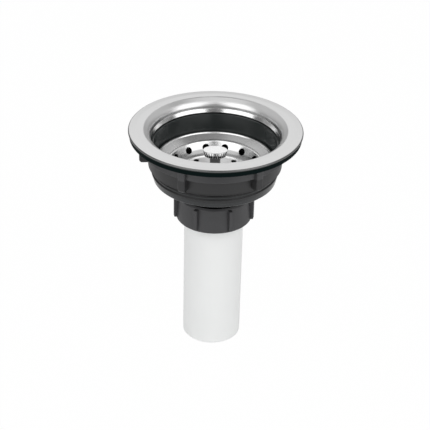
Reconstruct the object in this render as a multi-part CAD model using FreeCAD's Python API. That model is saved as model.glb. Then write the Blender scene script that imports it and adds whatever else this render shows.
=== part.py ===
import FreeCAD, Part
import math
import os

from FreeCAD import Vector

# Basket strainer waste for a kitchen sink, in millimetres.
# The axis is Z, and the origin is the centre of the tailpiece's lower end.

# Pressed steel rim and throat
rim_radius = 57.0
rim_crown = 0.4
crown_inset = 5.0
crown_bend = 14.0
edge_bend = 0.7
edge_drop = 1.0
rim_sheet = 0.6
throat_radius = 42.4
funnel_width = 4.8
funnel_drop = 3.5
funnel_bend = 5.4
funnel_edge_bend = 1.5
throat_depth = 6.2
ledge_width = 1.25
ledge_drop = 2.4
ledge_bend = 0.5
lip_length = 0.5

# Moulded cup
rim_seat_gap = 0.05
flange_thickness = 1.15
lip_clearance = 0.4
bowl_step = 0.85
bowl_step_rounding = 0.4
bowl_taper = 0.7
cup_wall = 1.1
cup_depth = 35.6
shoulder_wall = 1.2
shoulder_bend = 2.5
shoulder_cone = 1.4
plain_band_height = 5.8
plain_band_step = 0.4
plain_band_taper = 1.15
foot_rounding = 1.2
floor_thickness = 2.3
floor_rounding = 2.5
seat_depth = 38.3
seat_width = 3.4
mouth_rounding = 0.8
body_height = 56.4

# Threads stand on plain cylinders
thread_height = 0.7
thread_gap = 0.25
nut_entry_chamfer = 0.6

# Outlet, its spider and its hub
outlet_wall = 3.4
neck_rounding = 3.0
outlet_chamfer = 0.8
spider_bars = 4
spider_first_angle = 45.0
spider_bar_width = 2.6
spider_bar_height = 7.0
spider_bar_rounding = 0.85
spider_drop = 1.5
hub_wall = 2.6
hub_end_rise = 1.2

# Rubber gasket and friction washer
gasket_width = 8.5
gasket_thickness = 3.2
gasket_rounding = 0.35
washer_width = 6.85
washer_thickness = 1.2
ring_gap = 0.4

# Locknut
locknut_height = 19.2
locknut_collar_height = 8.2
locknut_collar_wall = 1.4
locknut_collar_flare = 1.75
locknut_wall = 2.25
locknut_draft = 0.5
locknut_rounding = 0.8
lug_count = 6
lug_reach = 2.2
lug_width = 4.8
lug_height = 16.8
lug_corner = 2.0
lug_rounding = 0.8
lug_first_angle = -115.0

# Tailpiece and its sealing ring
tail_radius = 20.0
tail_wall = 1.8
tail_reach = 93.5
tail_chamfer = 0.5
tail_neck_inset = 0.5
tail_neck_clearance = 1.0
collar_thickness = 3.0
tail_washer_thickness = 2.5

# Coupling nut
coupling_height = 17.9
coupling_wall = 2.1
coupling_lip = 3.0
coupling_gap = 0.35
coupling_chamfer = 1.2
coupling_chamfer_width = 1.0
coupling_rounding = 0.8
coupling_draft = 0.95
rib_count = 7
rib_height = 2.7
rib_width = 2.4
rib_foot_rise = 1.3
rib_rounding = 1.2
rib_first_angle = -116.6

# Pressed basket
basket_sheet = 0.7
basket_gap = 0.6
basket_depth = 11.6
basket_rim_drop = 1.7
bead_width = 2.0
bead_rise = 0.8
bead_slope_width = 0.6
bead_bend = 0.55
bead_foot_bend = 0.4
gutter_width = 8.3
gutter_drop = 3.4
gutter_flat = 1.7
gutter_rise = 0.4
gutter_bend = 4.0
basket_step_bend = 1.2
basket_wall_run = 4.3
basket_floor_bend = 6.0
wall_holes = 14
wall_hole_radius = 2.45
wall_hole_share = 0.55
floor_holes = 10
floor_hole_radius = 1.9
floor_hole_inset = 4.9
back_angle = 90.0

# Post, knob and stopper stack
post_radius = 2.9
post_shoulder_radius = 3.5
post_foot_radius = 7.0
post_foot_thickness = 1.0
post_spigot_radius = 2.5
post_spigot_length = 3.0
post_tip_length = 2.5
post_chamfer = 0.6
knob_rise = 17.9
knob_half_width = 8.1
knob_half_depth = 5.5
knob_height = 4.6
knob_foot_share = 0.88
knob_rounding = 0.5
flute_count = 26
flute_radius = 0.5
seal_inset = 0.8
seal_height = 4.3
seal_web = 2.0
seal_flare = 3.2
seal_skirt = 1.6
seal_edge = 1.3
seal_washer_radius = 12.0
seal_washer_thickness = 1.0
post_nut_width = 10.0
post_nut_sides = 6
post_nut_height = 4.0
stack_gap = 0.05
hub_clearance = 1.5
lift_travel = 9.0
post_gap = 0.08
catch_depth = 0.7
catch_height = 2.0
catch_gap = 0.04
catch_rounding = 0.3

# Lengths that count as none
join_tolerance = 1e-6
edge_tolerance = 1e-3

# Heights, from the tailpiece's lower end upwards
coupling_bottom = tail_reach
tail_neck_level = coupling_bottom - tail_neck_clearance
collar_bottom = coupling_bottom + coupling_lip
collar_top = collar_bottom + collar_thickness
outlet_end = collar_top + tail_washer_thickness
coupling_top = coupling_bottom + coupling_height
rim_level = outlet_end + body_height
flange_bottom = rim_level - rim_sheet - rim_seat_gap - flange_thickness
gasket_bottom = flange_bottom - gasket_thickness
locknut_top = gasket_bottom - washer_thickness
locknut_bottom = locknut_top - locknut_height
cup_bottom = rim_level - cup_depth
thread_end = cup_bottom + plain_band_height
ledge_top = rim_level - throat_depth
ledge_bottom = ledge_top - ledge_drop
lip_end = ledge_bottom - lip_length
step_level = lip_end - lip_clearance
seat_level = rim_level - seat_depth
basket_bottom = seat_level + seal_height
basket_floor = basket_bottom + basket_sheet
basket_top = basket_floor + basket_depth
seal_web_bottom = basket_bottom - seal_web
seal_washer_bottom = seal_web_bottom - seal_washer_thickness
post_nut_bottom = seal_washer_bottom - post_nut_height
hub_top = post_nut_bottom - hub_clearance
hub_bottom = outlet_end + hub_end_rise
catch_top = hub_top - lift_travel
catch_bottom = catch_top - catch_height
post_end = catch_bottom - post_tip_length
post_foot_top = basket_floor + post_foot_thickness
knob_top = basket_floor + knob_rise
knob_bottom = knob_top - knob_height

# Radii that follow from the driving ones
lip_radius = throat_radius - ledge_width
bowl_radius = lip_radius - bowl_step
bowl_foot_radius = bowl_radius - bowl_taper
cup_core_radius = bowl_radius + cup_wall
cup_thread_radius = cup_core_radius + thread_height
locknut_bore = cup_thread_radius + thread_gap
shoulder_offset = rim_sheet + rim_seat_gap + shoulder_wall
shoulder_radius = throat_radius + shoulder_offset
funnel_slope = math.atan2(funnel_drop, funnel_width)
flare_bend_angle = (math.pi / 2 - funnel_slope) / 2
flare_level = rim_level + rim_crown - funnel_drop - shoulder_offset * math.tan(flare_bend_angle)
flare_radius = shoulder_radius + (flange_bottom - flare_level) / math.tan(funnel_slope)
crown_radius = rim_radius - crown_inset
ring_bore = shoulder_radius + ring_gap
gasket_bore = flare_radius + ring_gap
gasket_radius = gasket_bore + gasket_width
washer_radius = ring_bore + washer_width
plain_band_radius = cup_core_radius + plain_band_step
foot_radius = plain_band_radius - plain_band_taper
outlet_bore = tail_radius - tail_wall
outlet_core_radius = outlet_bore + outlet_wall
coupling_bore = outlet_core_radius + thread_height + thread_gap
coupling_radius = coupling_bore + coupling_wall
collar_radius = coupling_bore - ring_gap
seat_radius = outlet_bore + seat_width
seal_radius = seat_radius - seal_inset
basket_radius = bowl_foot_radius - basket_gap
gutter_radius = basket_radius - gutter_width
basket_floor_radius = gutter_radius - basket_wall_run
floor_hole_circle = basket_floor_radius - floor_hole_inset
hub_bore = post_radius + post_gap
hub_radius = hub_bore + hub_wall
catch_groove_radius = post_radius - catch_depth
locknut_radius = locknut_bore + locknut_wall
locknut_collar_radius = ring_bore + locknut_collar_wall
locknut_flare_radius = locknut_collar_radius + locknut_collar_flare
lug_radius = locknut_flare_radius + lug_reach


def unit(start, end):
    """Direction from one corner to the next, in the plane of radius and height."""
    run = end[0] - start[0]
    rise = end[1] - start[1]
    length = math.hypot(run, rise)
    return run / length, rise / length


def place(radius, height):
    """Point of the half plane through the axis and +X."""
    return Vector(radius, 0, height)


def half_angle(before, corner, after):
    """Half of the angle that two runs of an outline make at their corner."""
    to_before = unit(corner, before)
    to_after = unit(corner, after)
    between = to_before[0] * to_after[0] + to_before[1] * to_after[1]
    return math.acos(max(-1.0, min(1.0, between))) / 2


def rounding_reaches(corners):
    """How far each rounding reaches along its runs; two that don't fit on a run share it."""
    count = len(corners)
    reaches = []
    for index, corner in enumerate(corners):
        rounding = corner[2] if len(corner) == 3 else 0
        half = half_angle(corners[index - 1], corner, corners[(index + 1) % count])
        reaches.append(rounding / math.tan(half))
    shares = [1.0] * count
    for index, corner in enumerate(corners):
        following = (index + 1) % count
        wanted = reaches[index] + reaches[following]
        run = math.dist(corner[:2], corners[following][:2])
        if wanted > run:
            shares[index] = min(shares[index], run / wanted)
            shares[following] = min(shares[following], run / wanted)
    return [reach * share for reach, share in zip(reaches, shares)]


def corner_arc(before, corner, after, reach):
    """Start, middle and end of the arc that rounds one corner of an outline."""
    to_before = unit(corner, before)
    to_after = unit(corner, after)
    half = half_angle(before, corner, after)
    radius = reach * math.tan(half)
    inward = unit((0, 0), (to_before[0] + to_after[0], to_before[1] + to_after[1]))
    depth = radius / math.sin(half) - radius
    start = place(corner[0] + to_before[0] * reach, corner[1] + to_before[1] * reach)
    middle = place(corner[0] + inward[0] * depth, corner[1] + inward[1] * depth)
    end = place(corner[0] + to_after[0] * reach, corner[1] + to_after[1] * reach)
    return start, middle, end


def outline(corners):
    """Flat face inside corners of (radius, height) or (radius, height, rounding)."""
    edges = []
    stops = []
    for index, reach in enumerate(rounding_reaches(corners)):
        corner = corners[index]
        if reach > 0:
            after = corners[(index + 1) % len(corners)]
            start, middle, end = corner_arc(corners[index - 1], corner, after, reach)
            edges.append(Part.Arc(start, middle, end).toShape())
            stops.append((start, end))
        else:
            point = place(corner[0], corner[1])
            stops.append((point, point))
    for index, stop in enumerate(stops):
        next_start = stops[(index + 1) % len(stops)][0]
        if (next_start - stop[1]).Length > join_tolerance:
            edges.append(Part.LineSegment(stop[1], next_start).toShape())
    return Part.Face(Part.Wire(Part.__sortEdges__(edges)))


def lathe(corners):
    """Solid turned about the axis from a closed outline."""
    return outline(corners).revolve(Vector(0, 0, 0), Vector(0, 0, 1), 360)


def shifted(path, distance):
    """Open path of rounded corners, moved to the right of its own direction."""
    moved = []
    for index, corner in enumerate(path):
        rounding = corner[2] if len(corner) == 3 else 0
        arriving = unit(path[index - 1], corner) if index > 0 else None
        leaving = unit(corner, path[index + 1]) if index < len(path) - 1 else None
        first = arriving or leaving
        second = leaving or arriving
        normal = (first[1] + second[1], -first[0] - second[0])
        share = 2 * distance / (normal[0] ** 2 + normal[1] ** 2)
        turn = first[0] * second[1] - first[1] * second[0]
        bend = rounding + math.copysign(distance, turn) if rounding > 0 else 0
        moved.append((corner[0] + normal[0] * share, corner[1] + normal[1] * share, max(bend, 0)))
    return moved


def pressed_sheet(path, gauge):
    """Sheet of even gauge turned about the axis, on the right of its visible face's path."""
    return lathe(path + shifted(path, gauge)[::-1])


def around(shape, count, first_angle):
    """Copies of a shape, evenly spaced about the axis."""
    copies = []
    for index in range(count):
        copy = shape.copy()
        copy.rotate(Vector(0, 0, 0), Vector(0, 0, 1), first_angle + 360.0 * index / count)
        copies.append(copy)
    return copies


def upright_plate(corners, width):
    """Plate in the half plane of +X, of the given width about that plane."""
    plate = outline(corners).extrude(Vector(0, width, 0))
    plate.translate(Vector(0, -width / 2, 0))
    return plate


def outer_edges(plate, root, top):
    """Edges along both sides of an upright plate, beyond its root and below its top."""
    chosen = []
    for edge in plate.Edges:
        box = edge.BoundBox
        beyond_root = box.XMax > root + edge_tolerance
        below_top = box.ZMin < top - edge_tolerance
        if box.YLength < edge_tolerance and beyond_root and below_top:
            chosen.append(edge)
    return chosen


def rod(radius, start, end):
    """Cylinder between two points."""
    return Part.makeCylinder(radius, (end - start).Length, start, end - start)


def rim_path():
    """Visible face of the steel rim, from the lip up the throat and out to the edge."""
    return [
        (lip_radius, lip_end),
        (lip_radius, ledge_bottom, ledge_bend),
        (throat_radius, ledge_top, ledge_bend),
        (throat_radius, rim_level + rim_crown - funnel_drop, funnel_bend),
        (throat_radius + funnel_width, rim_level + rim_crown, funnel_edge_bend),
        (crown_radius, rim_level + rim_crown, crown_bend),
        (rim_radius, rim_level, edge_bend),
        (rim_radius, rim_level - edge_drop),
    ]


def sink_flange():
    return pressed_sheet(rim_path(), rim_sheet)


def strainer_body():
    seat = shifted(rim_path(), rim_sheet + rim_seat_gap)
    seat[0] = (seat[0][0], step_level)
    seat[-1] = (seat[-1][0], flange_bottom)
    floor_edge = cup_bottom + floor_thickness
    neck_top = seat_level - floor_thickness
    cup = lathe(seat + [
        (flare_radius, flange_bottom, shoulder_wall / 2),
        (shoulder_radius, flare_level, shoulder_bend),
        (shoulder_radius, step_level),
        (cup_core_radius, step_level - shoulder_cone),
        (cup_core_radius, thread_end),
        (plain_band_radius, thread_end),
        (foot_radius, cup_bottom, foot_rounding),
        (outlet_core_radius, neck_top, neck_rounding),
        (outlet_core_radius, outlet_end + outlet_chamfer),
        (outlet_core_radius - outlet_chamfer, outlet_end),
        (outlet_bore, outlet_end),
        (outlet_bore, seat_level, mouth_rounding),
        (seat_radius, seat_level),
        (bowl_foot_radius, floor_edge, floor_rounding),
        (bowl_radius, step_level, bowl_step_rounding),
    ])
    hub = lathe([
        (0, hub_bottom),
        (hub_radius, hub_bottom, post_chamfer),
        (hub_radius, hub_top, hub_wall / 2),
        (0, hub_top),
    ])
    bar_top = hub_top - spider_drop
    bar_bottom = bar_top - spider_bar_height
    bar_reach = (outlet_bore + outlet_core_radius) / 2
    bar = upright_plate([
        (hub_bore, bar_bottom),
        (bar_reach, bar_bottom),
        (bar_reach, bar_top),
        (hub_bore, bar_top),
    ], spider_bar_width)
    upper_edges = [edge for edge in bar.Edges if edge.BoundBox.ZMin > bar_bottom]
    long_edges = [edge for edge in upper_edges if edge.Length > spider_bar_width]
    bar = bar.makeFillet(spider_bar_rounding, long_edges)
    body = cup.multiFuse([hub] + around(bar, spider_bars, spider_first_angle))
    bore = rod(hub_bore, Vector(0, 0, outlet_end), Vector(0, 0, hub_top + hub_wall))
    return body.cut(bore).removeSplitter()


def rim_gasket():
    return lathe([
        (gasket_bore, flange_bottom),
        (gasket_radius, flange_bottom, gasket_rounding),
        (gasket_radius, gasket_bottom, gasket_rounding),
        (gasket_bore, gasket_bottom),
    ])


def friction_washer():
    return lathe([
        (ring_bore, gasket_bottom),
        (washer_radius, gasket_bottom),
        (washer_radius, locknut_top),
        (ring_bore, locknut_top),
    ])


def locknut():
    collar_bottom_level = locknut_top - locknut_collar_height
    shelf = collar_bottom_level + locknut_collar_wall
    ring = lathe([
        (ring_bore, locknut_top),
        (locknut_collar_radius, locknut_top, locknut_rounding),
        (locknut_flare_radius, collar_bottom_level, locknut_rounding / 2),
        (locknut_radius, collar_bottom_level, locknut_rounding),
        (locknut_radius - locknut_draft, locknut_bottom, locknut_rounding),
        (locknut_bore + nut_entry_chamfer, locknut_bottom),
        (locknut_bore, locknut_bottom + nut_entry_chamfer),
        (locknut_bore, shelf),
        (ring_bore, shelf),
    ])
    lug_root = (locknut_bore + locknut_radius) / 2
    collar_root = (ring_bore + locknut_collar_radius) / 2
    lug = upright_plate([
        (collar_root, locknut_top),
        (lug_radius, locknut_top),
        (lug_radius, locknut_top - lug_height, lug_corner),
        (lug_root, locknut_top - lug_height),
        (lug_root, shelf - locknut_collar_wall / 2),
        (collar_root, shelf - locknut_collar_wall / 2),
    ], lug_width)
    lug = lug.makeFillet(lug_rounding, outer_edges(lug, collar_root, locknut_top))
    return ring.multiFuse(around(lug, lug_count, lug_first_angle)).removeSplitter()


def coupling_nut():
    ring = lathe([
        (coupling_bore + nut_entry_chamfer, coupling_top),
        (coupling_radius - coupling_chamfer_width, coupling_top),
        (coupling_radius, coupling_top - coupling_chamfer, coupling_rounding),
        (coupling_radius + coupling_draft, coupling_bottom, coupling_rounding),
        (tail_radius + coupling_gap, coupling_bottom),
        (tail_radius + coupling_gap, collar_bottom),
        (coupling_bore, collar_bottom),
        (coupling_bore, coupling_top - nut_entry_chamfer),
    ])
    rib_root = (coupling_bore + coupling_radius) / 2
    rib_bottom = coupling_bottom + rib_foot_rise
    rib_top = coupling_top - coupling_chamfer
    rib = upright_plate([
        (rib_root, rib_bottom),
        (coupling_radius + rib_height, rib_bottom, rib_rounding / 2),
        (coupling_radius + rib_height, rib_top, rib_rounding),
        (rib_root, rib_top),
    ], rib_width)
    return ring.multiFuse(around(rib, rib_count, rib_first_angle)).removeSplitter()


def tailpiece_washer():
    return lathe([
        (outlet_bore, collar_top),
        (collar_radius, collar_top),
        (collar_radius, outlet_end),
        (outlet_bore, outlet_end),
    ])


def tailpiece():
    return lathe([
        (outlet_bore, tail_chamfer),
        (outlet_bore + tail_chamfer, 0),
        (tail_radius - tail_chamfer, 0),
        (tail_radius, tail_chamfer),
        (tail_radius, tail_neck_level),
        (tail_radius - tail_neck_inset, tail_neck_level + tail_neck_inset),
        (tail_radius - tail_neck_inset, collar_bottom),
        (collar_radius, collar_bottom),
        (collar_radius, collar_top),
        (outlet_bore, collar_top),
    ])


def basket_path():
    """Visible face of the basket, from the post's hole out to the turned-down rim."""
    return [
        (post_radius + stack_gap, basket_floor),
        (basket_floor_radius, basket_floor, basket_floor_bend),
        (gutter_radius, basket_top - gutter_drop, basket_step_bend),
        (gutter_radius + gutter_flat, basket_top - gutter_drop + gutter_rise, gutter_bend),
        (basket_radius - bead_width, basket_top - bead_rise, bead_foot_bend),
        (basket_radius - bead_width + bead_slope_width, basket_top, bead_bend),
        (basket_radius, basket_top, bead_bend),
        (basket_radius, basket_top - basket_rim_drop),
    ]


def wall_drill():
    """Drill square to the sloping wall, part of the way up it."""
    foot = Vector(basket_floor_radius, 0, basket_floor)
    head = Vector(gutter_radius, 0, basket_top - gutter_drop)
    middle = foot + (head - foot) * wall_hole_share
    slope = (head - foot).normalize()
    square = Vector(-slope.z, 0, slope.x) * (wall_hole_radius * 2)
    return rod(wall_hole_radius, middle - square, middle + square)


def basket():
    shell = pressed_sheet(basket_path(), basket_sheet)
    floor_drill = rod(
        floor_hole_radius,
        Vector(floor_hole_circle, 0, basket_bottom - basket_sheet),
        Vector(floor_hole_circle, 0, basket_floor + basket_sheet),
    )
    half_step = 180.0 / wall_holes
    drills = around(wall_drill(), wall_holes, back_angle - half_step)
    drills += around(floor_drill, floor_holes, back_angle)
    return shell.cut(Part.makeCompound(drills))


def post():
    return lathe([
        (0, post_end),
        (post_radius - post_chamfer, post_end),
        (post_radius, post_end + post_chamfer),
        (post_radius, catch_bottom - stack_gap),
        (catch_groove_radius, catch_bottom - stack_gap),
        (catch_groove_radius, catch_top + stack_gap),
        (post_radius, catch_top + stack_gap),
        (post_radius, basket_floor),
        (post_foot_radius, basket_floor),
        (post_foot_radius, post_foot_top, post_foot_thickness / 2),
        (post_shoulder_radius, post_foot_top, post_foot_thickness / 2),
        (post_shoulder_radius, knob_bottom),
        (post_spigot_radius, knob_bottom),
        (post_spigot_radius, knob_bottom + post_spigot_length),
        (0, knob_bottom + post_spigot_length),
    ])


def oval(share, level):
    """Outline of the knob's grip at a share of its full width and depth."""
    curve = Part.Ellipse(Vector(0, 0, level), knob_half_width * share, knob_half_depth * share)
    return Part.Wire(curve.toShape())


def knob():
    brim = oval(1, knob_top)
    grip = Part.makeLoft([oval(knob_foot_share, knob_bottom), brim], True, True)
    brim_level = knob_top - edge_tolerance
    brim_edges = [edge for edge in grip.Edges if edge.BoundBox.ZMin > brim_level]
    grip = grip.makeFillet(knob_rounding, brim_edges)
    flute_reach = 1 - (knob_rounding + flute_radius) / knob_height
    cutters = [rod(
        post_spigot_radius + stack_gap,
        Vector(0, 0, knob_bottom - stack_gap),
        Vector(0, 0, knob_bottom + post_spigot_length + stack_gap),
    )]
    for point in brim.Edges[0].discretize(flute_count + 1)[1:]:
        foot = Vector(point.x * knob_foot_share, point.y * knob_foot_share, knob_bottom)
        head = foot + (point - foot) * flute_reach
        start = foot + (foot - head).normalize() * flute_radius
        cutters.append(rod(flute_radius, start, head))
        cutters.append(Part.makeSphere(flute_radius, head))
    return grip.cut(cutters[0].multiFuse(cutters[1:]))


def stopper_seal():
    bore = post_radius + stack_gap
    return lathe([
        (bore, basket_bottom),
        (seal_radius - seal_flare, basket_bottom, seal_edge),
        (seal_radius, seat_level + seal_edge, seal_edge / 2),
        (seal_radius, seat_level),
        (seal_radius - seal_skirt, seat_level),
        (seal_radius - seal_flare - seal_skirt, seal_web_bottom, seal_edge),
        (bore, seal_web_bottom),
    ])


def seal_washer():
    bore = post_radius + stack_gap
    return lathe([
        (bore, seal_washer_bottom),
        (seal_washer_radius, seal_washer_bottom),
        (seal_washer_radius, seal_web_bottom),
        (bore, seal_web_bottom),
    ])


def post_nut():
    corner_radius = post_nut_width / 2 / math.cos(math.pi / post_nut_sides)
    corners = []
    for step in range(post_nut_sides):
        angle = 2 * math.pi * step / post_nut_sides
        across = corner_radius * math.cos(angle)
        along = corner_radius * math.sin(angle)
        corners.append(Vector(across, along, post_nut_bottom))
    hexagon = Part.makePolygon(corners + corners[:1])
    prism = Part.Face(hexagon).extrude(Vector(0, 0, post_nut_height))
    crown = lathe([
        (post_radius + stack_gap, post_nut_bottom),
        (post_nut_width / 2, post_nut_bottom),
        (corner_radius, post_nut_bottom + (corner_radius - post_nut_width / 2) / 2),
        (corner_radius, seal_washer_bottom),
        (post_radius + stack_gap, seal_washer_bottom),
    ])
    return prism.common(crown)


def catch_ring():
    inner = catch_groove_radius + stack_gap
    outer = hub_bore - catch_gap
    return lathe([
        (inner, catch_bottom),
        (outer, catch_bottom, catch_rounding),
        (outer, catch_top, catch_rounding),
        (inner, catch_top),
    ])


pieces = [
    sink_flange,
    strainer_body,
    rim_gasket,
    friction_washer,
    locknut,
    coupling_nut,
    tailpiece_washer,
    tailpiece,
    basket,
    post,
    knob,
    stopper_seal,
    seal_washer,
    post_nut,
    catch_ring,
]

os.makedirs("parts", exist_ok=True)
for piece in pieces:
    solid = piece()
    name = piece.__name__
    solid.exportStep("parts/" + name + ".step")
    box = solid.BoundBox
    print(name, solid.isValid(), len(solid.Solids), "volume %.1f" % solid.Volume,
          "z %.2f to %.2f" % (box.ZMin, box.ZMax), "radius %.2f" % box.XMax)
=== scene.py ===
"""Finishes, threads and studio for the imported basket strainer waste, laid out as an add-on."""

import math

import bpy
import numpy as np
from bpy.props import FloatProperty, FloatVectorProperty, IntProperty, PointerProperty
from bpy.types import NodeSocket, Operator, Panel, PropertyGroup
from mathutils import Matrix


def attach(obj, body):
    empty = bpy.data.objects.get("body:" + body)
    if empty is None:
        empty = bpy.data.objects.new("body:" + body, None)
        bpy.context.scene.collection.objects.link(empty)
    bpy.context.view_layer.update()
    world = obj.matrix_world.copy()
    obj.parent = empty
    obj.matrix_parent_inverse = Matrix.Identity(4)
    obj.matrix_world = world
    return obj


bl_info = {
    "name": "Basket Strainer Waste",
    "version": (1, 0, 0),
    "blender": (4, 5, 0),
    "location": "View3D > Sidebar > Strainer",
    "description": "Finishes a basket strainer waste and sets up its studio",
    "category": "Object",
}

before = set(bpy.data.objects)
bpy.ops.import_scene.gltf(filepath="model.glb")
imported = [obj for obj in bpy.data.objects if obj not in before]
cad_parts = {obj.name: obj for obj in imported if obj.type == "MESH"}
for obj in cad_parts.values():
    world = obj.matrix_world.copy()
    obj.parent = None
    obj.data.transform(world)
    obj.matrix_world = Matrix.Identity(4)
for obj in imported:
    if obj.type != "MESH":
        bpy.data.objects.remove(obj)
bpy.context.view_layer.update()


def colour(label, words, default):
    """Property for a surface colour."""
    return FloatVectorProperty(
        name=label, description=words, subtype="COLOR", size=3, min=0, max=1, default=default
    )


def length(label, words, default):
    """Property for a length in metres."""
    return FloatProperty(
        name=label, description=words, unit="LENGTH", subtype="DISTANCE", precision=5, default=default
    )


def share(label, words, default):
    """Property for a value between nought and one."""
    return FloatProperty(name=label, description=words, subtype="FACTOR", min=0, max=1, default=default)


def angle(label, words, degrees):
    """Property for an angle, whose default is given in degrees."""
    return FloatProperty(name=label, description=words, subtype="ANGLE", default=math.radians(degrees))


class StrainerFinish(PropertyGroup):
    """Colours and gloss of the pieces."""

    rim_colour: colour("Rim", "Colour of the pressed steel rim", (0.772, 0.772, 0.772))
    rim_satin: share("Rim satin", "Roughness of the rim's flat face", 0.34)
    throat_polish: share("Throat polish", "Roughness of the throat below the rim", 0.33)
    lip_polish: share("Lip polish", "Roughness of the lip at the throat's foot", 0.19)
    basket_colour: colour("Basket", "Colour of the pressed basket", (0.74, 0.74, 0.74))
    basket_satin: share("Basket satin", "Roughness of the basket's band and wall", 0.27)
    # The basket floor's colour is set lighter than the basket's, which paints light on the floor.
    floor_light: colour("Basket floor", "Colour of the basket's floor", (0.95, 0.95, 0.95))
    floor_satin: share("Basket floor satin", "Roughness of the basket's floor", 0.36)
    knob_colour: colour("Knob", "Colour of the knob's bright top", (0.92, 0.92, 0.92))
    # The ribs' and the flutes' colours are painted shade on the knob's side, deeper in the flutes.
    knob_rib: colour("Knob ribs", "Colour of the ribs between the knob's flutes", (0.5, 0.5, 0.5))
    knob_flute: colour("Knob flutes", "Colour in the knob's flutes", (0.06, 0.06, 0.06))
    post_colour: colour("Post", "Colour of the post, its nut and its washer", (0.17, 0.17, 0.17))
    post_satin: share("Post satin", "Roughness of the post, its nut and its washer", 0.3)
    cup_colour: colour("Cup", "Colour of the moulded cup", (0.024, 0.0275, 0.027))
    thread_colour: colour("Threads", "Colour of the cup's threads", (0.018, 0.018, 0.019))
    nut_colour: colour("Nuts", "Colour of the two moulded nuts", (0.042, 0.042, 0.0445))
    washer_colour: colour("Washer", "Colour of the friction washer", (0.16, 0.16, 0.165))
    rubber_colour: colour("Rubber", "Colour of the gasket and the seals", (0.0012, 0.0056, 0.0056))
    tube_colour: colour("Tube", "Colour of the tailpiece", (0.885, 0.895, 0.89))


class StrainerBasket(PropertyGroup):
    """Radii and slopes for the shading of the basket, whose floor is flat."""

    floor_edge: length("Floor edge", "Radius at which the floor's dish ends", 0.0249)
    floor_slope: share("Floor slope", "Slope of the dish that the floor's shading shows", 0.60)
    wall_foot: length("Wall foot", "Radius at the foot of the wall", 0.0278)
    wall_top: length("Wall top", "Radius at the top of the wall", 0.0304)
    wall_slope: share("Wall slope", "Slope of the flare that the wall's shading shows", 0.26)


class StrainerKnob(PropertyGroup):
    """Sizes of the oval knob, from which its flutes and its brim are found."""

    half_width: length("Half width", "Half of the knob's width", 0.0081)
    half_depth: length("Half depth", "Half of the knob's depth", 0.0055)
    foot: length("Foot", "Height of the knob's lower end", 0.1384)
    top: length("Top", "Height of the knob's top", 0.1430)
    foot_share: share("Foot share", "Width of the knob's lower end, as a share of its top", 0.88)
    brim: length("Brim", "Depth of the soft brim below the top", 0.0025)
    brim_slope: share("Brim slope", "Slope of the brim that the knob's shading shows", 0.75)


class StrainerThreads(PropertyGroup):
    """Sizes of the two outside threads."""

    cup_core: length("Cup core", "Radius at the root of the cup's thread", 0.0414)
    cup_start: length("Cup start", "Height at which the cup's thread starts", 0.1266)
    cup_end: length("Cup end", "Height at which the cup's thread ends", 0.1470)
    outlet_core: length("Outlet core", "Radius at the root of the outlet's thread", 0.0216)
    outlet_start: length("Outlet start", "Height at which the outlet's thread starts", 0.1036)
    outlet_end: length("Outlet end", "Height at which the outlet's thread ends", 0.1130)
    height: length("Thread height", "Height of a ridge above the root", 0.0006)
    cup_pitch: length("Cup pitch", "Rise of the cup's thread in one turn", 0.0025)
    outlet_pitch: length("Outlet pitch", "Rise of the outlet's thread in one turn", 0.0030)
    steps: IntProperty(name="Steps", description="Steps in one turn of a thread", default=128, min=24)


class StrainerStudio(PropertyGroup):
    """Camera, floor and light."""

    eye: FloatVectorProperty(
        name="Eye", description="Place of the camera", subtype="TRANSLATION", unit="LENGTH",
        size=3, default=(0.0, -0.71253, 0.52213),
    )
    pitch: angle("Pitch", "Angle of the view above straight down", 58.932)
    roll: angle("Roll", "Turn of the camera about its view", 1.35)
    pan: angle("Pan", "Turn of the view to the right", 0.056)
    lens: FloatProperty(name="Lens", description="Focal length in millimetres", default=102.88, min=10)
    box_glow: FloatProperty(
        name="Soft boxes", description="Radiance of the soft boxes' faces", default=1.5, min=0
    )
    box_distance: length("Box distance", "Distance of the soft boxes from the part", 1.4)
    box_height: length("Box height", "Height of the soft boxes' faces", 1.75)
    box_rise: angle("Box rise", "Angle of the soft boxes above the part", 28.0)
    left_bearing: angle("Left box", "Bearing of the left soft box from the view", -43.0)
    left_width: length("Left width", "Width of the left soft box", 1.35)
    right_bearing: angle("Right box", "Bearing of the right soft box from the view", 50.0)
    right_width: length("Right width", "Width of the right soft box", 1.4)
    backdrop: share("Backdrop", "Light of the backdrop behind the part", 0.98)
    backdrop_foot: share("Backdrop foot", "Share of that light near the floor", 0.42)
    backdrop_sides: share("Backdrop sides", "Share of that light at the sides", 0.6)
    back_ceiling: share("Back ceiling", "Light of the ceiling behind the part", 0.26)
    room: share("Room", "Light of the room in front", 0.16)
    front_ceiling: share("Front ceiling", "Light of the ceiling in front", 0.90)
    lamp_glow: share("Lamp", "Light that the lamp adds to the ceiling", 0.32)
    lamp_way: FloatVectorProperty(
        name="Lamp's way", description="Direction from the part to the lamp", subtype="DIRECTION",
        size=3, default=(-0.36, 0.20, 0.91),
    )
    floor_colour: colour("Floor", "Colour of the floor", (0.80, 0.80, 0.80))
    floor_white: share("Floor white", "How much plain white the camera sees over the floor", 0.99)
    floor_gloss: share("Floor in gloss", "How much of that white glossy faces show", 0.45)


def wire(tree, start, end):
    """Links an output socket to an input socket."""
    tree.links.new(start, end)


def feed(tree, value, socket):
    """Links an input socket to another socket, or sets it to a number or a vector."""
    if isinstance(value, NodeSocket):
        wire(tree, value, socket)
    else:
        socket.default_value = value


def add(tree, kind, **values):
    """New node with the given plain properties set."""
    node = tree.nodes.new(kind)
    for name, value in values.items():
        setattr(node, name, value)
    return node


def arithmetic(tree, operation, *operands):
    """Math node of operands that are sockets or numbers."""
    node = add(tree, "ShaderNodeMath", operation=operation)
    for socket, value in zip(node.inputs, operands):
        feed(tree, value, socket)
    return node.outputs["Value"]


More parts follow.
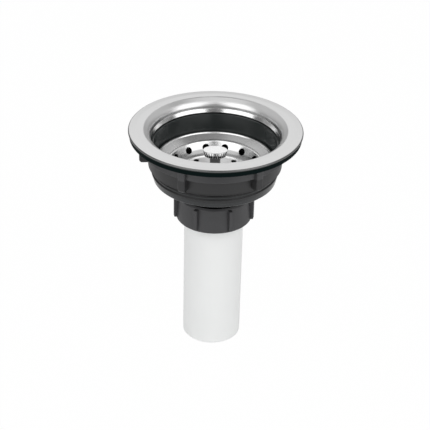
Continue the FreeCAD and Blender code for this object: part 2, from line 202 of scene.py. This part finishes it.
def vector(tree, operation, *operands):
    """Vector math node of operands that are sockets or vectors."""
    node = add(tree, "ShaderNodeVectorMath", operation=operation)
    for socket, value in zip(node.inputs, operands):
        feed(tree, value, socket)
    return node.outputs["Value" if operation in ("LENGTH", "DOT_PRODUCT") else "Vector"]


def parted(tree, place):
    """The three parts of a vector socket."""
    node = add(tree, "ShaderNodeSeparateXYZ")
    wire(tree, place, node.inputs["Vector"])
    return node.outputs["X"], node.outputs["Y"], node.outputs["Z"]


def object_place(tree):
    """A point's place in the object's own axes."""
    return add(tree, "ShaderNodeTexCoord").outputs["Object"]


def spread(tree, value, low, high, start, end):
    """Smooth step of a value between two limits, to the range from start to end."""
    node = add(tree, "ShaderNodeMapRange", interpolation_type="SMOOTHSTEP")
    wire(tree, value, node.inputs["Value"])
    for name, number in (("From Min", low), ("From Max", high), ("To Min", start), ("To Max", end)):
        node.inputs[name].default_value = number
    return node.outputs["Result"]


def banded(tree, value, start, end, level):
    """Factor that goes from one to a level between the start's limits, and back between the end's."""
    into = spread(tree, value, *start, 1.0, level)
    out = spread(tree, value, *end, level, 1.0)
    return arithmetic(tree, "MAXIMUM" if level < 1 else "MINIMUM", into, out)


def tint(tree, mask, dark, light):
    """Colour that goes from dark to light as the mask goes from nought to one."""
    node = add(tree, "ShaderNodeMix", data_type="RGBA")
    wire(tree, mask, node.inputs["Factor"])
    node.inputs["A"].default_value = (*dark, 1)
    node.inputs["B"].default_value = (*light, 1)
    return node.outputs["Result"]


def mixed(tree, mask, first, second):
    """Colour socket that goes from the first to the second as the mask goes from nought to one."""
    node = add(tree, "ShaderNodeMix", data_type="RGBA")
    wire(tree, mask, node.inputs["Factor"])
    wire(tree, first, node.inputs["A"])
    wire(tree, second, node.inputs["B"])
    return node.outputs["Result"]


def blended(tree, mask, first, second):
    """Value that goes from the first to the second, each a socket or a number, as the mask rises."""
    node = add(tree, "ShaderNodeMix", data_type="FLOAT")
    wire(tree, mask, node.inputs["Factor"])
    feed(tree, first, node.inputs["A"])
    feed(tree, second, node.inputs["B"])
    return node.outputs["Result"]


def dimmed(tree, rgb, factor):
    """Colour socket times another, or times a value."""
    return vector(tree, "MULTIPLY", rgb, factor)


def grey(level):
    """A colour of three equal parts."""
    return level, level, level


def shaded(rgb, factor):
    """A colour made darker or lighter, kept within range."""
    return tuple(min(1.0, channel * factor) for channel in rgb)


def new_group(name, inputs, outputs):
    """Empty shader group with float sockets, and its inner input and output nodes."""
    tree = bpy.data.node_groups.new(name, "ShaderNodeTree")
    for label, default in inputs:
        socket = tree.interface.new_socket(label, in_out="INPUT", socket_type="NodeSocketFloat")
        socket.default_value = default
    for label in outputs:
        tree.interface.new_socket(label, in_out="OUTPUT", socket_type="NodeSocketFloat")
    return tree, add(tree, "NodeGroupInput"), add(tree, "NodeGroupOutput")


def turned_lines():
    """Marks of turning and of pressing: noise read along the radius and the height, so that its
    lines run round the axis, and only slowly along the direction. It also gives radius and height."""
    tree, taken, given = new_group(
        "turned_lines", [("Lines", 2500.0), ("Wander", 2.0)], ["Lines", "Radius", "Height"]
    )
    place = object_place(tree)
    flat = vector(tree, "MULTIPLY", place, (1, 1, 0))
    radius = vector(tree, "LENGTH", flat)
    height = parted(tree, place)[2]
    slow = vector(tree, "MULTIPLY", vector(tree, "NORMALIZE", flat), taken.outputs["Wander"])
    along = arithmetic(tree, "ADD", radius, height)
    lift = add(tree, "ShaderNodeCombineXYZ")
    wire(tree, arithmetic(tree, "MULTIPLY", along, taken.outputs["Lines"]), lift.inputs["Z"])
    noise = add(tree, "ShaderNodeTexNoise")
    noise.inputs["Scale"].default_value = 1.0
    noise.inputs["Detail"].default_value = 3.0
    wire(tree, vector(tree, "ADD", slow, lift.outputs["Vector"]), noise.inputs["Vector"])
    wire(tree, noise.outputs["Fac"], given.inputs["Lines"])
    wire(tree, radius, given.inputs["Radius"])
    wire(tree, height, given.inputs["Height"])
    return tree


def surface_grain():
    """Fine grain of a moulded or worn surface, and a broad cloudiness over it."""
    tree, taken, given = new_group(
        "surface_grain", [("Grain size", 3000.0), ("Cloud size", 60.0)], ["Grain", "Cloud"]
    )
    place = object_place(tree)
    for size, output, detail in (("Grain size", "Grain", 2.0), ("Cloud size", "Cloud", 3.0)):
        noise = add(tree, "ShaderNodeTexNoise")
        noise.inputs["Detail"].default_value = detail
        wire(tree, place, noise.inputs["Vector"])
        wire(tree, taken.outputs[size], noise.inputs["Scale"])
        wire(tree, noise.outputs["Fac"], given.inputs[output])
    return tree


def placed(tree, maker, **values):
    """The shared group in a material, with its own values."""
    group = bpy.data.node_groups.get(maker.__name__) or maker()
    node = add(tree, "ShaderNodeGroup", node_tree=group)
    for name, value in values.items():
        node.inputs[name.replace("_", " ")].default_value = value
    return node


def new_material(name, **constants):
    """Material with its shader, whose constant sockets are set here."""
    material = bpy.data.materials.new(name)
    material.use_nodes = True
    shader = material.node_tree.nodes["Principled BSDF"]
    for label, value in constants.items():
        shader.inputs[label.replace("_", " ")].default_value = value
    return material, material.node_tree, shader


def bumped(tree, shader, height, depth=1.0):
    """Tilts the shading by a height, which is in metres or is a share of the given depth in metres."""
    bump = add(tree, "ShaderNodeBump")
    bump.inputs["Distance"].default_value = depth
    wire(tree, height, bump.inputs["Height"])
    wire(tree, bump.outputs["Normal"], shader.inputs["Normal"])


def brushed(tree, marks, rgb, dark=0.94, light=1.05):
    """A steel's colour, darker and lighter along the lines."""
    return tint(tree, marks.outputs["Lines"], shaded(rgb, dark), shaded(rgb, light))


def clouded(tree, grain, low, high):
    """Roughness that changes with the cloudiness, over the middle of the noise's range."""
    middle = (0.3, 0.7)
    return spread(tree, grain.outputs["Cloud"], *middle, low, high)


def clouded_satin(tree, grain, satin):
    """Roughness a little below and above a steel's own."""
    sway = 0.12
    return clouded(tree, grain, satin * (1 - sway), satin * (1 + sway))


def rim_steel(finish):
    """The rim's steel: satin on the flat face, polished down the throat and more so on the lip, with
    painted shade at the cut edge and at the lip's end. The limits are radii, and heights for the lip's
    end."""
    lip, throat, cut_edge = (0.0418, 0.0428), (0.0440, 0.0475), (0.0561, 0.0567)
    lip_end = (0.1496, 0.1501)
    edge_shade, lip_shade = 0.2, 0.06
    material, tree, shader = new_material("rim_steel", Metallic=1.0)
    marks = placed(tree, turned_lines, Lines=3500.0)
    radius = marks.outputs["Radius"]
    face = brushed(tree, marks, finish.rim_colour, dark=0.95, light=1.04)
    face = dimmed(tree, face, spread(tree, radius, *cut_edge, 1.0, edge_shade))
    face = dimmed(tree, face, spread(tree, marks.outputs["Height"], *lip_end, lip_shade, 1.0))
    wire(tree, face, shader.inputs["Base Color"])
    satin = spread(tree, radius, *throat, finish.throat_polish, finish.rim_satin)
    above_lip = spread(tree, radius, *lip, 0.0, 1.0)
    wire(tree, blended(tree, above_lip, finish.lip_polish, satin), shader.inputs["Roughness"])
    bumped(tree, shader, marks.outputs["Lines"], depth=0.000004)
    return material


def basket_steel(finish, basket):
    """The basket's steel: brushed on its band and wall, with painted shade in the bend at the wall's foot
    and a painted highlight on the ridge at its top, and on its floor a satin of its own and a lighter
    colour that is painted light. The limits are radii. The shading is tilted by a dish that rises up to
    the floor's edge, a flare that falls up the wall, and the brushing."""
    floor_end, bend_start, bend_end = (0.0240, 0.0252), (0.0252, 0.0260), (0.0280, 0.0286)
    ridge_start, ridge_end = (0.0301, 0.0305), (0.0311, 0.0317)
    bend_shade, ridge_shine = 0.50, 1.28
    brushing_depth = 0.000006
    material, tree, shader = new_material("basket_steel", Metallic=1.0)
    marks = placed(tree, turned_lines, Lines=3000.0)
    grain = placed(tree, surface_grain, Cloud_size=45.0)
    radius = marks.outputs["Radius"]
    wall = spread(tree, radius, *floor_end, 0.0, 1.0)
    floor = tint(tree, grain.outputs["Grain"], shaded(finish.floor_light, 0.85), finish.floor_light)
    face = mixed(tree, wall, floor, brushed(tree, marks, finish.basket_colour))
    face = dimmed(tree, face, banded(tree, radius, bend_start, bend_end, bend_shade))
    face = dimmed(tree, face, banded(tree, radius, ridge_start, ridge_end, ridge_shine))
    wire(tree, face, shader.inputs["Base Color"])
    satin = clouded_satin(tree, grain, finish.basket_satin)
    wire(tree, blended(tree, wall, finish.floor_satin, satin), shader.inputs["Roughness"])
    on_floor = arithmetic(tree, "MINIMUM", radius, basket.floor_edge)
    dish = arithmetic(tree, "MULTIPLY", on_floor, basket.floor_slope)
    past_foot = arithmetic(tree, "MAXIMUM", radius, basket.wall_foot)
    on_wall = arithmetic(tree, "MINIMUM", past_foot, basket.wall_top)
    flare = arithmetic(tree, "MULTIPLY", on_wall, -basket.wall_slope)
    brushing = arithmetic(tree, "MULTIPLY", marks.outputs["Lines"], brushing_depth)
    bumped(tree, shader, arithmetic(tree, "ADD", arithmetic(tree, "ADD", dish, flare), brushing))
    return material


def knob_chrome(finish, knob):
    """The knob's chrome: its own colour on top, a painted highlight on the brim that brings the side half
    way to it, and painted shade on the side, deeper in the flutes than on the ribs between them. A
    point's share of the oval is the length of its offsets over the half width and the half depth, and a
    flute lies inside the oval of its height. The brim's shading is tilted upward."""
    brim_start = (knob.top - 0.0034, knob.top - 0.0022)
    face_start = (knob.top - 0.0008, knob.top - 0.0002)
    flute_rim = (0.945, 0.995)
    brim_shine = 0.5
    material, tree, shader = new_material("knob_chrome", Metallic=1.0)
    grain = placed(tree, surface_grain)
    place = object_place(tree)
    height = parted(tree, place)[2]
    offsets = vector(tree, "MULTIPLY", place, (1 / knob.half_width, 1 / knob.half_depth, 0))
    slope = (1 - knob.foot_share) / (knob.top - knob.foot)
    oval = arithmetic(tree, "MULTIPLY_ADD", height, slope, 1 - slope * knob.top)
    inside = arithmetic(tree, "DIVIDE", vector(tree, "LENGTH", offsets), oval)
    side = tint(tree, spread(tree, inside, *flute_rim, 0.0, 1.0), finish.knob_flute, finish.knob_rib)
    top = tint(tree, grain.outputs["Cloud"], shaded(finish.knob_colour, 0.96), finish.knob_colour)
    on_brim = spread(tree, height, *brim_start, 0.0, brim_shine)
    on_top = arithmetic(tree, "MAXIMUM", on_brim, spread(tree, height, *face_start, 0.0, 1.0))
    wire(tree, mixed(tree, on_top, side, top), shader.inputs["Base Color"])
    wire(tree, clouded(tree, grain, low=0.12, high=0.16), shader.inputs["Roughness"])
    brim = arithmetic(tree, "MAXIMUM", height, knob.top - knob.brim)
    bumped(tree, shader, arithmetic(tree, "MULTIPLY", brim, -knob.brim_slope))
    return material


def post_steel(finish):
    """Turned steel with fine lines round the axis and a faint cloudiness in its gloss."""
    material, tree, shader = new_material("post_steel", Metallic=1.0)
    marks = placed(tree, turned_lines, Lines=3000.0)
    grain = placed(tree, surface_grain, Cloud_size=45.0)
    wire(tree, brushed(tree, marks, finish.post_colour), shader.inputs["Base Color"])
    wire(tree, clouded_satin(tree, grain, finish.post_satin), shader.inputs["Roughness"])
    bumped(tree, shader, marks.outputs["Lines"], depth=0.000005)
    return material


def moulded(name, rgb, satin, depth, zones=(), cloudy=0.1, **constants):
    """Moulded plastic or rubber: fine grain, a cloudy gloss and colour. Each zone is a stretch of height
    over which the colour's factor goes from one colour to another, which here paints shade by height."""
    material, tree, shader = new_material(name, **constants)
    grain = placed(tree, surface_grain)
    face = tint(tree, grain.outputs["Cloud"], shaded(rgb, 1 - cloudy), shaded(rgb, 1 + cloudy))
    for low, high, below, above in zones:
        height = parted(tree, object_place(tree))[2]
        face = dimmed(tree, face, tint(tree, spread(tree, height, low, high, 0.0, 1.0), below, above))
    wire(tree, face, shader.inputs["Base Color"])
    wire(tree, clouded(tree, grain, *satin), shader.inputs["Roughness"])
    bumped(tree, shader, grain.outputs["Grain"], depth)
    return material


def dress(material, *nodes):
    """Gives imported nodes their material."""
    for node in nodes:
        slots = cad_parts[node].data.materials
        slots.clear()
        slots.append(material)


class STRAINER_OT_rim(Operator):
    """Finish the pressed rim and throat"""

    bl_idname = "strainer.rim"
    bl_label = "Rim"

    def execute(self, context):
        dress(rim_steel(context.scene.strainer_finish), "sink_flange")
        return {"FINISHED"}


class STRAINER_OT_basket(Operator):
    """Finish the basket, its knob and its post"""

    bl_idname = "strainer.basket"
    bl_label = "Basket"

    def execute(self, context):
        scene = context.scene
        finish = scene.strainer_finish
        dress(basket_steel(finish, scene.strainer_basket), "basket")
        dress(knob_chrome(finish, scene.strainer_knob), "knob")
        dress(post_steel(finish), "post", "seal_washer", "post_nut")
        return {"FINISHED"}


class STRAINER_OT_mouldings(Operator):
    """Finish the moulded cup, the nuts and the washer"""

    bl_idname = "strainer.mouldings"
    bl_label = "Mouldings"

    def execute(self, context):
        finish = context.scene.strainer_finish
        # Painted shade by height on the cup's outside: deepest on the outlet's neck, lighter and a little
        # purple on the band above it, deeper over the threads, and gone above them.
        neck_painted_shade = (0.1195, 0.1225, grey(0.15), (0.68, 0.66, 0.74))
        threads_painted_shade = (0.1257, 0.1263, grey(1.0), grey(0.5))
        painted_shade_end = (0.1290, 0.1298, grey(1.0), (2.9, 3.1, 2.8))
        dress(moulded("dark_plastic", finish.cup_colour, satin=(0.16, 0.24), depth=0.000004,
                      zones=[neck_painted_shade, threads_painted_shade, painted_shade_end]), "strainer_body")
        # Painted shade by height on the locknut: deepest on its lower edge, less on its wall, and none on
        # its collar; the coupling nut below keeps the nuts' own colour.
        locknut_edge_shade = (0.1130, 0.1300, grey(1.0), grey(0.1))
        locknut_wall_shade = (0.1336, 0.1348, grey(1.0), grey(4.0))
        locknut_shade_end = (0.1436, 0.1446, grey(1.0), grey(2.5))
        dress(moulded("nut_plastic", finish.nut_colour, satin=(0.42, 0.52), depth=0.00001,
                      zones=[locknut_edge_shade, locknut_wall_shade, locknut_shade_end]), "locknut", "coupling_nut")
        dress(moulded("washer_plastic", finish.washer_colour, satin=(0.5, 0.6), depth=0.00001),
              "friction_washer")
        return {"FINISHED"}


class STRAINER_OT_rubber(Operator):
    """Finish the gasket and the seals"""

    bl_idname = "strainer.rubber"
    bl_label = "Rubber"

    def execute(self, context):
        finish = context.scene.strainer_finish
        dress(moulded("black_rubber", finish.rubber_colour, satin=(0.6, 0.7), depth=0.00001,
                      Specular_IOR_Level=0.05),
              "rim_gasket", "tailpiece_washer", "stopper_seal", "catch_ring")
        return {"FINISHED"}


class STRAINER_OT_tail(Operator):
    """Finish the tailpiece"""

    bl_idname = "strainer.tail"
    bl_label = "Tailpiece"

    def execute(self, context):
        finish = context.scene.strainer_finish
        dress(moulded("white_plastic", finish.tube_colour, satin=(0.33, 0.36), depth=0.000004,
                      cloudy=0.012), "tailpiece")
        return {"FINISHED"}


def thread_surface(core, height, pitch, start, end, steps):
    """Points of a screw ridge on a grid of turn and profile. The profile is a trapezium that rises from
    just under the core to the crest over the middle half of the pitch; carried round, its height grows
    by the pitch in each turn, and it swells out of the core over the first and the last half turn."""
    turns = (end - start) / pitch
    turn = np.linspace(0.0, turns, int(round(turns * steps)) + 1)
    across = np.array([-0.42, -0.30, -0.14, 0.14, 0.30, 0.42]) * pitch
    rise = np.array([-0.1, 0.1, 1.0, 1.0, 0.1, -0.1]) * height
    swell = np.clip(np.minimum(turn, turns - turn) * 2.0, 0.0, 1.0)
    swell = swell * swell * (3.0 - 2.0 * swell)
    radius = core + np.outer(swell, np.maximum(rise, 0.0)) + np.minimum(rise, 0.0)
    way = 2.0 * np.pi * turn[:, None]
    level = start + pitch * turn[:, None] + across[None, :]
    return np.stack([radius * np.cos(way), radius * np.sin(way), level], axis=-1)


def sheet_faces(rows, columns):
    """Quads of a grid of points, with the outside on the left of its rows."""
    first = np.arange(rows - 1)[:, None] * columns + np.arange(columns - 1)[None, :]
    first = first.ravel()
    return np.stack([first, first + columns, first + columns + 1, first + 1], axis=-1)


def surface_piece(name, points, material):
    """Smooth mesh object at the origin from a grid of points."""
    rows, columns = points.shape[:2]
    mesh = bpy.data.meshes.new(name)
    mesh.from_pydata(points.reshape(-1, 3), [], sheet_faces(rows, columns))
    mesh.shade_smooth()
    mesh.materials.append(material)
    piece = bpy.data.objects.new(name, mesh)
    bpy.context.scene.collection.objects.link(piece)
    return piece


class STRAINER_OT_threads(Operator):
    """Cut the outside threads of the cup and of its outlet"""

    bl_idname = "strainer.threads"
    bl_label = "Threads"

    def execute(self, context):
        sizes = context.scene.strainer_threads
        finish = context.scene.strainer_finish
        outlet_shade = (0.1140, 0.1240, grey(0.1), grey(1.0))
        plastic = moulded("thread_plastic", finish.thread_colour, satin=(0.3, 0.4), depth=0.000004,
                          zones=[outlet_shade], Specular_IOR_Level=0.2)
        cup = thread_surface(sizes.cup_core, sizes.height, sizes.cup_pitch,
                             sizes.cup_start, sizes.cup_end, sizes.steps)
        outlet = thread_surface(sizes.outlet_core, sizes.height, sizes.outlet_pitch,
                                sizes.outlet_start, sizes.outlet_end, sizes.steps)
        for name, points in (("cup_thread", cup), ("outlet_thread", outlet)):
            piece = surface_piece(name, points, plastic)
            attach(piece, "strainer")
        return {"FINISHED"}


def floor_material(studio):
    """Pale floor with a faint shadow, plain white to the camera and whitish in gloss and glass."""
    material, tree, shader = new_material("floor", Roughness=0.9, Base_Color=(*studio.floor_colour, 1))
    rays = add(tree, "ShaderNodeLightPath").outputs
    plain = arithmetic(tree, "MULTIPLY", rays["Is Camera Ray"], studio.floor_white)
    mirrored = arithmetic(tree, "MAXIMUM", rays["Is Glossy Ray"], rays["Is Transmission Ray"])
    whitish = arithmetic(tree, "MULTIPLY", mirrored, studio.floor_gloss)
    white = add(tree, "ShaderNodeEmission")
    mix = add(tree, "ShaderNodeMixShader")
    wire(tree, arithmetic(tree, "MAXIMUM", plain, whitish), mix.inputs["Fac"])
    wire(tree, shader.outputs["BSDF"], mix.inputs[1])
    wire(tree, white.outputs["Emission"], mix.inputs[2])
    wire(tree, mix.outputs["Shader"], tree.nodes["Material Output"].inputs["Surface"])
    return material


def studio_floor(studio):
    """Wide square floor, just clear of the tailpiece's end."""
    reach, drop = 4.0, 0.0001
    corners = [(x * reach, y * reach, -drop) for x, y in ((-1, -1), (1, -1), (1, 1), (-1, 1))]
    mesh = bpy.data.meshes.new("floor")
    mesh.from_pydata(corners, [], [(0, 1, 2, 3)])
    mesh.materials.append(floor_material(studio))
    floor = bpy.data.objects.new("floor", mesh)
    bpy.context.scene.collection.objects.link(floor)


def studio_world(studio):
    """White to the camera. To everything else it is a studio: a bright backdrop under a dim ceiling
    behind, darker at its foot and sides, a dim room under a brighter ceiling in front, and one lamp
    high up on the left. The limits are parts of a direction, and the lamp's are of the cosine to it."""
    foot, back_top, sides = (0.10, 0.45), (0.76, 0.86), (0.28, 0.50)
    front_top, turn, lamp_edge = (0.78, 0.92), (-0.06, 0.08), (0.95, 0.99)
    world = bpy.data.worlds.new("studio")
    world.use_nodes = True
    tree = world.node_tree
    way = add(tree, "ShaderNodeTexCoord").outputs["Generated"]
    across, back, up = parted(tree, way)
    backdrop = spread(tree, up, *back_top, studio.backdrop, studio.back_ceiling)
    rising = spread(tree, up, *foot, studio.backdrop_foot, 1.0)
    fading = spread(tree, arithmetic(tree, "ABSOLUTE", across), *sides, 1.0, studio.backdrop_sides)
    backdrop = arithmetic(tree, "MULTIPLY", backdrop, arithmetic(tree, "MULTIPLY", rising, fading))
    room = spread(tree, up, *front_top, studio.room, studio.front_ceiling)
    behind = spread(tree, back, *turn, 0.0, 1.0)
    toward = vector(tree, "DOT_PRODUCT", way, studio.lamp_way)
    lamp = spread(tree, toward, *lamp_edge, 0.0, studio.lamp_glow)
    level = arithmetic(tree, "ADD", blended(tree, behind, room, backdrop), lamp)
    rays = add(tree, "ShaderNodeLightPath").outputs
    shown = blended(tree, rays["Is Camera Ray"], level, 1.0)
    wire(tree, shown, tree.nodes["Background"].inputs["Strength"])
    tree.nodes["Background"].inputs["Color"].default_value = (1, 1, 1, 1)
    return world


def soft_box(name, studio, bearing, width):
    """Tall soft box in front of the part, at a bearing from the view, that faces the cup."""
    cup_height = 0.12
    lamp = bpy.data.lights.new(name, "AREA")
    lamp.shape = "RECTANGLE"
    lamp.size, lamp.size_y = width, studio.box_height
    lamp.energy = math.pi * width * studio.box_height * studio.box_glow
    box = bpy.data.objects.new(name, lamp)
    box.matrix_world = (
        Matrix.Translation((0, 0, cup_height))
        @ Matrix.Rotation(bearing, 4, "Z")
        @ Matrix.Rotation(math.pi / 2 - studio.box_rise, 4, "X")
        @ Matrix.Translation((0, 0, studio.box_distance))
    )
    bpy.context.scene.collection.objects.link(box)


def studio_camera(studio):
    """Camera at the eye, tipped up from straight down, panned and rolled."""
    lens = bpy.data.cameras.new("camera")
    lens.lens = studio.lens
    camera = bpy.data.objects.new("camera", lens)
    camera.matrix_world = (
        Matrix.Translation(studio.eye)
        @ Matrix.Rotation(studio.pitch, 4, "X")
        @ Matrix.Rotation(-studio.pan, 4, "Y")
        @ Matrix.Rotation(studio.roll, 4, "Z")
    )
    bpy.context.scene.collection.objects.link(camera)
    return camera


class STRAINER_OT_studio(Operator):
    """Set up the floor, the light and the camera"""

    bl_idname = "strainer.studio"
    bl_label = "Studio"

    def execute(self, context):
        scene = context.scene
        studio = scene.strainer_studio
        scene.view_settings.view_transform = "Standard"
        scene.world = studio_world(studio)
        studio_floor(studio)
        soft_box("soft_box_left", studio, studio.left_bearing, studio.left_width)
        soft_box("soft_box_right", studio, studio.right_bearing, studio.right_width)
        scene.camera = studio_camera(studio)
        return {"FINISHED"}


class STRAINER_PT_panel(Panel):
    """Lists the strainer's steps and values"""

    bl_idname = "STRAINER_PT_panel"
    bl_label = "Basket Strainer Waste"
    bl_space_type = "VIEW_3D"
    bl_region_type = "UI"
    bl_category = "Strainer"

    def draw(self, context):
        for operator in operators:
            self.layout.operator(operator.bl_idname)
        for name in groups:
            group = getattr(context.scene, name)
            for value in group.__annotations__:
                self.layout.prop(group, value)


groups = {
    "strainer_finish": StrainerFinish,
    "strainer_basket": StrainerBasket,
    "strainer_knob": StrainerKnob,
    "strainer_threads": StrainerThreads,
    "strainer_studio": StrainerStudio,
}
operators = [
    STRAINER_OT_rim,
    STRAINER_OT_basket,
    STRAINER_OT_mouldings,
    STRAINER_OT_rubber,
    STRAINER_OT_tail,
    STRAINER_OT_threads,
    STRAINER_OT_studio,
]
classes = [*groups.values(), *operators, STRAINER_PT_panel]


def register():
    for item in classes:
        bpy.utils.register_class(item)
    for name, group in groups.items():
        setattr(bpy.types.Scene, name, PointerProperty(type=group))


def unregister():
    for name in groups:
        delattr(bpy.types.Scene, name)
    for item in reversed(classes):
        bpy.utils.unregister_class(item)


def main():
    register()
    bpy.ops.strainer.rim()
    bpy.ops.strainer.basket()
    bpy.ops.strainer.mouldings()
    bpy.ops.strainer.rubber()
    bpy.ops.strainer.tail()
    bpy.ops.strainer.threads()
    bpy.ops.strainer.studio()


if __name__ == "__main__":
    main()
